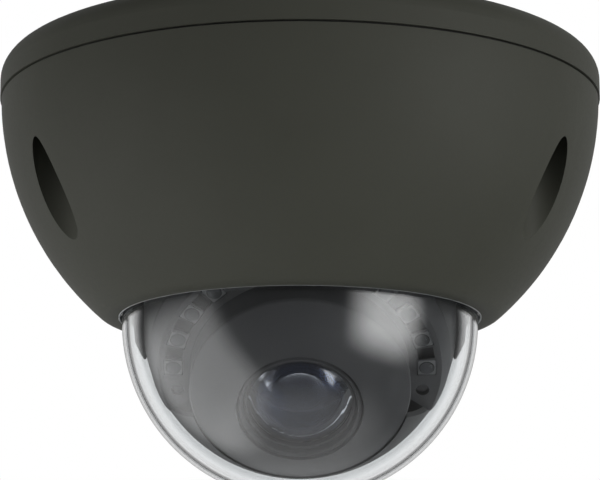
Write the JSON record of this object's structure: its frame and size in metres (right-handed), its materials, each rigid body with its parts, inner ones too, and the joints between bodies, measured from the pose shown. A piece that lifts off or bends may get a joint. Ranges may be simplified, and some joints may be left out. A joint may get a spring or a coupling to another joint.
{
  "type": "dome cctv camera",
  "caption": "Compact ceiling dome camera: rounded metal base and cover, clear bubble, and a ball-shaped camera head that pans, tilts and rotates behind it.",
  "frame": {"origin": "centre of the flat face that lies on the ceiling", "axes": "+Z out of the ceiling face, up into the ceiling; the lens looks towards -Y and down"},
  "size_m": [0.122, 0.122, 0.0889],
  "materials": {
    "powder_coat": "fine dark olive-black powder coat",
    "seal_rubber": "matt black silicone rubber",
    "dome_clear": "clear polished polycarbonate",
    "stainless": "stainless steel fasteners",
    "chassis_steel": "zinc-plated sheet steel",
    "card_shell": "tinned spring steel",
    "gimbal_black": "black glass-filled nylon, fine texture",
    "ball_black": "moulded black ABS, satin",
    "hood_black": "moulded black ABS, smooth satin",
    "acetal": "natural acetal",
    "circuit_board": "green solder mask over glass-epoxy",
    "lamp_circuit": "black solder mask over aluminium",
    "chip_black": "moulded epoxy",
    "sensor_die": "ceramic package with a glass lid",
    "pad_grey": "silicone thermal pad",
    "can_aluminium": "drawn aluminium cans",
    "connector_ivory": "ivory nylon",
    "switch_grey": "black phenolic with a steel top",
    "button_black": "black nylon",
    "card_plastic": "moulded black card",
    "lamp_package": "moulded lamp package",
    "lamp_silicone": "clear silicone lens",
    "sensor_window": "dark photocell",
    "lens_black": "black anodised",
    "lens_glass": "coated optical glass",
    "cut_glass": "infrared-cut coated glass",
    "plain_glass": "clear glass",
    "copper_wire": "enamelled copper winding",
    "magnet_grey": "nickel-plated magnet with a black arm"
  },
  "bodies": {
    "housing": {"base_housing": "powder_coat", "cable_grommet": "seal_rubber", "cover_gasket": "seal_rubber", "cover": "powder_coat", "cover_screws": "stainless", "cover_screw_orings": "seal_rubber", "dome_bubble": "dome_clear", "dome_gasket": "seal_rubber", "dome_clamp_ring": "gimbal_black", "dome_clamp_screws": "stainless", "main_board": "circuit_board", "processor": "chip_black", "thermal_pad": "pad_grey", "board_chips": "chip_black", "board_capacitors": "can_aluminium", "board_connectors": "connector_ivory", "main_board_screws": "stainless", "card_holder": "card_shell", "reset_switch": "switch_grey", "chassis_plate": "chassis_steel", "chassis_screws": "stainless", "pan_stop_pin": "chassis_steel"},
    "card": {"memory_card": "card_plastic"},
    "button": {"reset_button": "button_black"},
    "pan_stage": {"yoke": "gimbal_black", "pan_friction_ring": "acetal", "pan_clamp": "gimbal_black", "pan_clamp_screws": "stainless"},
    "tilt_stage": {"tilt_ring": "ball_black", "tilt_washers": "acetal", "tilt_screws": "stainless"},
    "head": {"head_carrier": "gimbal_black", "rear_cover": "gimbal_black", "front_mask": "ball_black", "lamp_cover": "ball_black", "lamp_board": "lamp_circuit", "infrared_lamps": "lamp_package", "lamp_lenses": "lamp_silicone", "light_sensors": "sensor_window", "lens_hood": "hood_black", "hood_screws": "stainless", "lens_barrel": "lens_black", "front_lens": "lens_glass", "lens_ring": "lens_black", "lens_elements": "lens_glass", "lens_lock_ring": "lens_black", "lens_holder": "gimbal_black", "filter_housing": "gimbal_black", "filter_cover": "gimbal_black", "coil_yoke": "chassis_steel", "filter_coil": "copper_wire", "sensor_board": "circuit_board", "image_sensor": "sensor_die", "sensor_seal": "seal_rubber", "sensor_board_parts": "chip_black", "head_screws": "stainless"},
    "filter_slider": {"filter_tray": "gimbal_black", "infrared_cut_glass": "cut_glass", "clear_glass": "plain_glass"},
    "filter_magnet": {"filter_rotor": "magnet_grey"}
  },
  "joints": [
    {"name": "pan", "type": "hinge", "parent": "housing", "child": "pan_stage", "pos_m": [0, 0, -0.0532], "axis": [0, 0, 1], "range_deg": [-170, 170]},
    {"name": "tilt", "type": "hinge", "parent": "pan_stage", "child": "tilt_stage", "pos_m": [0, 0, -0.0532], "axis": [1, 0, 0], "range_deg": [-30, 45]},
    {"name": "head_rotation", "type": "hinge", "parent": "tilt_stage", "child": "head", "pos_m": [0, 0, -0.0532], "axis": [0, -0.7071, -0.7071], "range_deg": [-175, 175]},
    {"name": "filter_magnet_turn", "type": "hinge", "parent": "head", "child": "filter_magnet", "pos_m": [0, -0.01004, -0.04457], "axis": [0, -0.7071, -0.7071], "range_deg": [-50.1, 0]},
    {"name": "filter_slide", "type": "slide", "parent": "head", "child": "filter_slider", "axis": [-1, 0, 0], "range_m": [0, 0.007]},
    {"name": "card_slide", "type": "slide", "parent": "housing", "child": "card", "axis": [1, 0, 0], "range_m": [0, 0.012]},
    {"name": "reset_press", "type": "slide", "parent": "housing", "child": "button", "axis": [0, 0, 1], "range_m": [0, 0.00035], "stiffness_N_per_m": 4000, "springref_m": -0.0001}
  ],
  "couplings": [
    {"joint": "filter_magnet_turn", "follows": "filter_slide", "rad_per_m": -124.67}
  ]
}
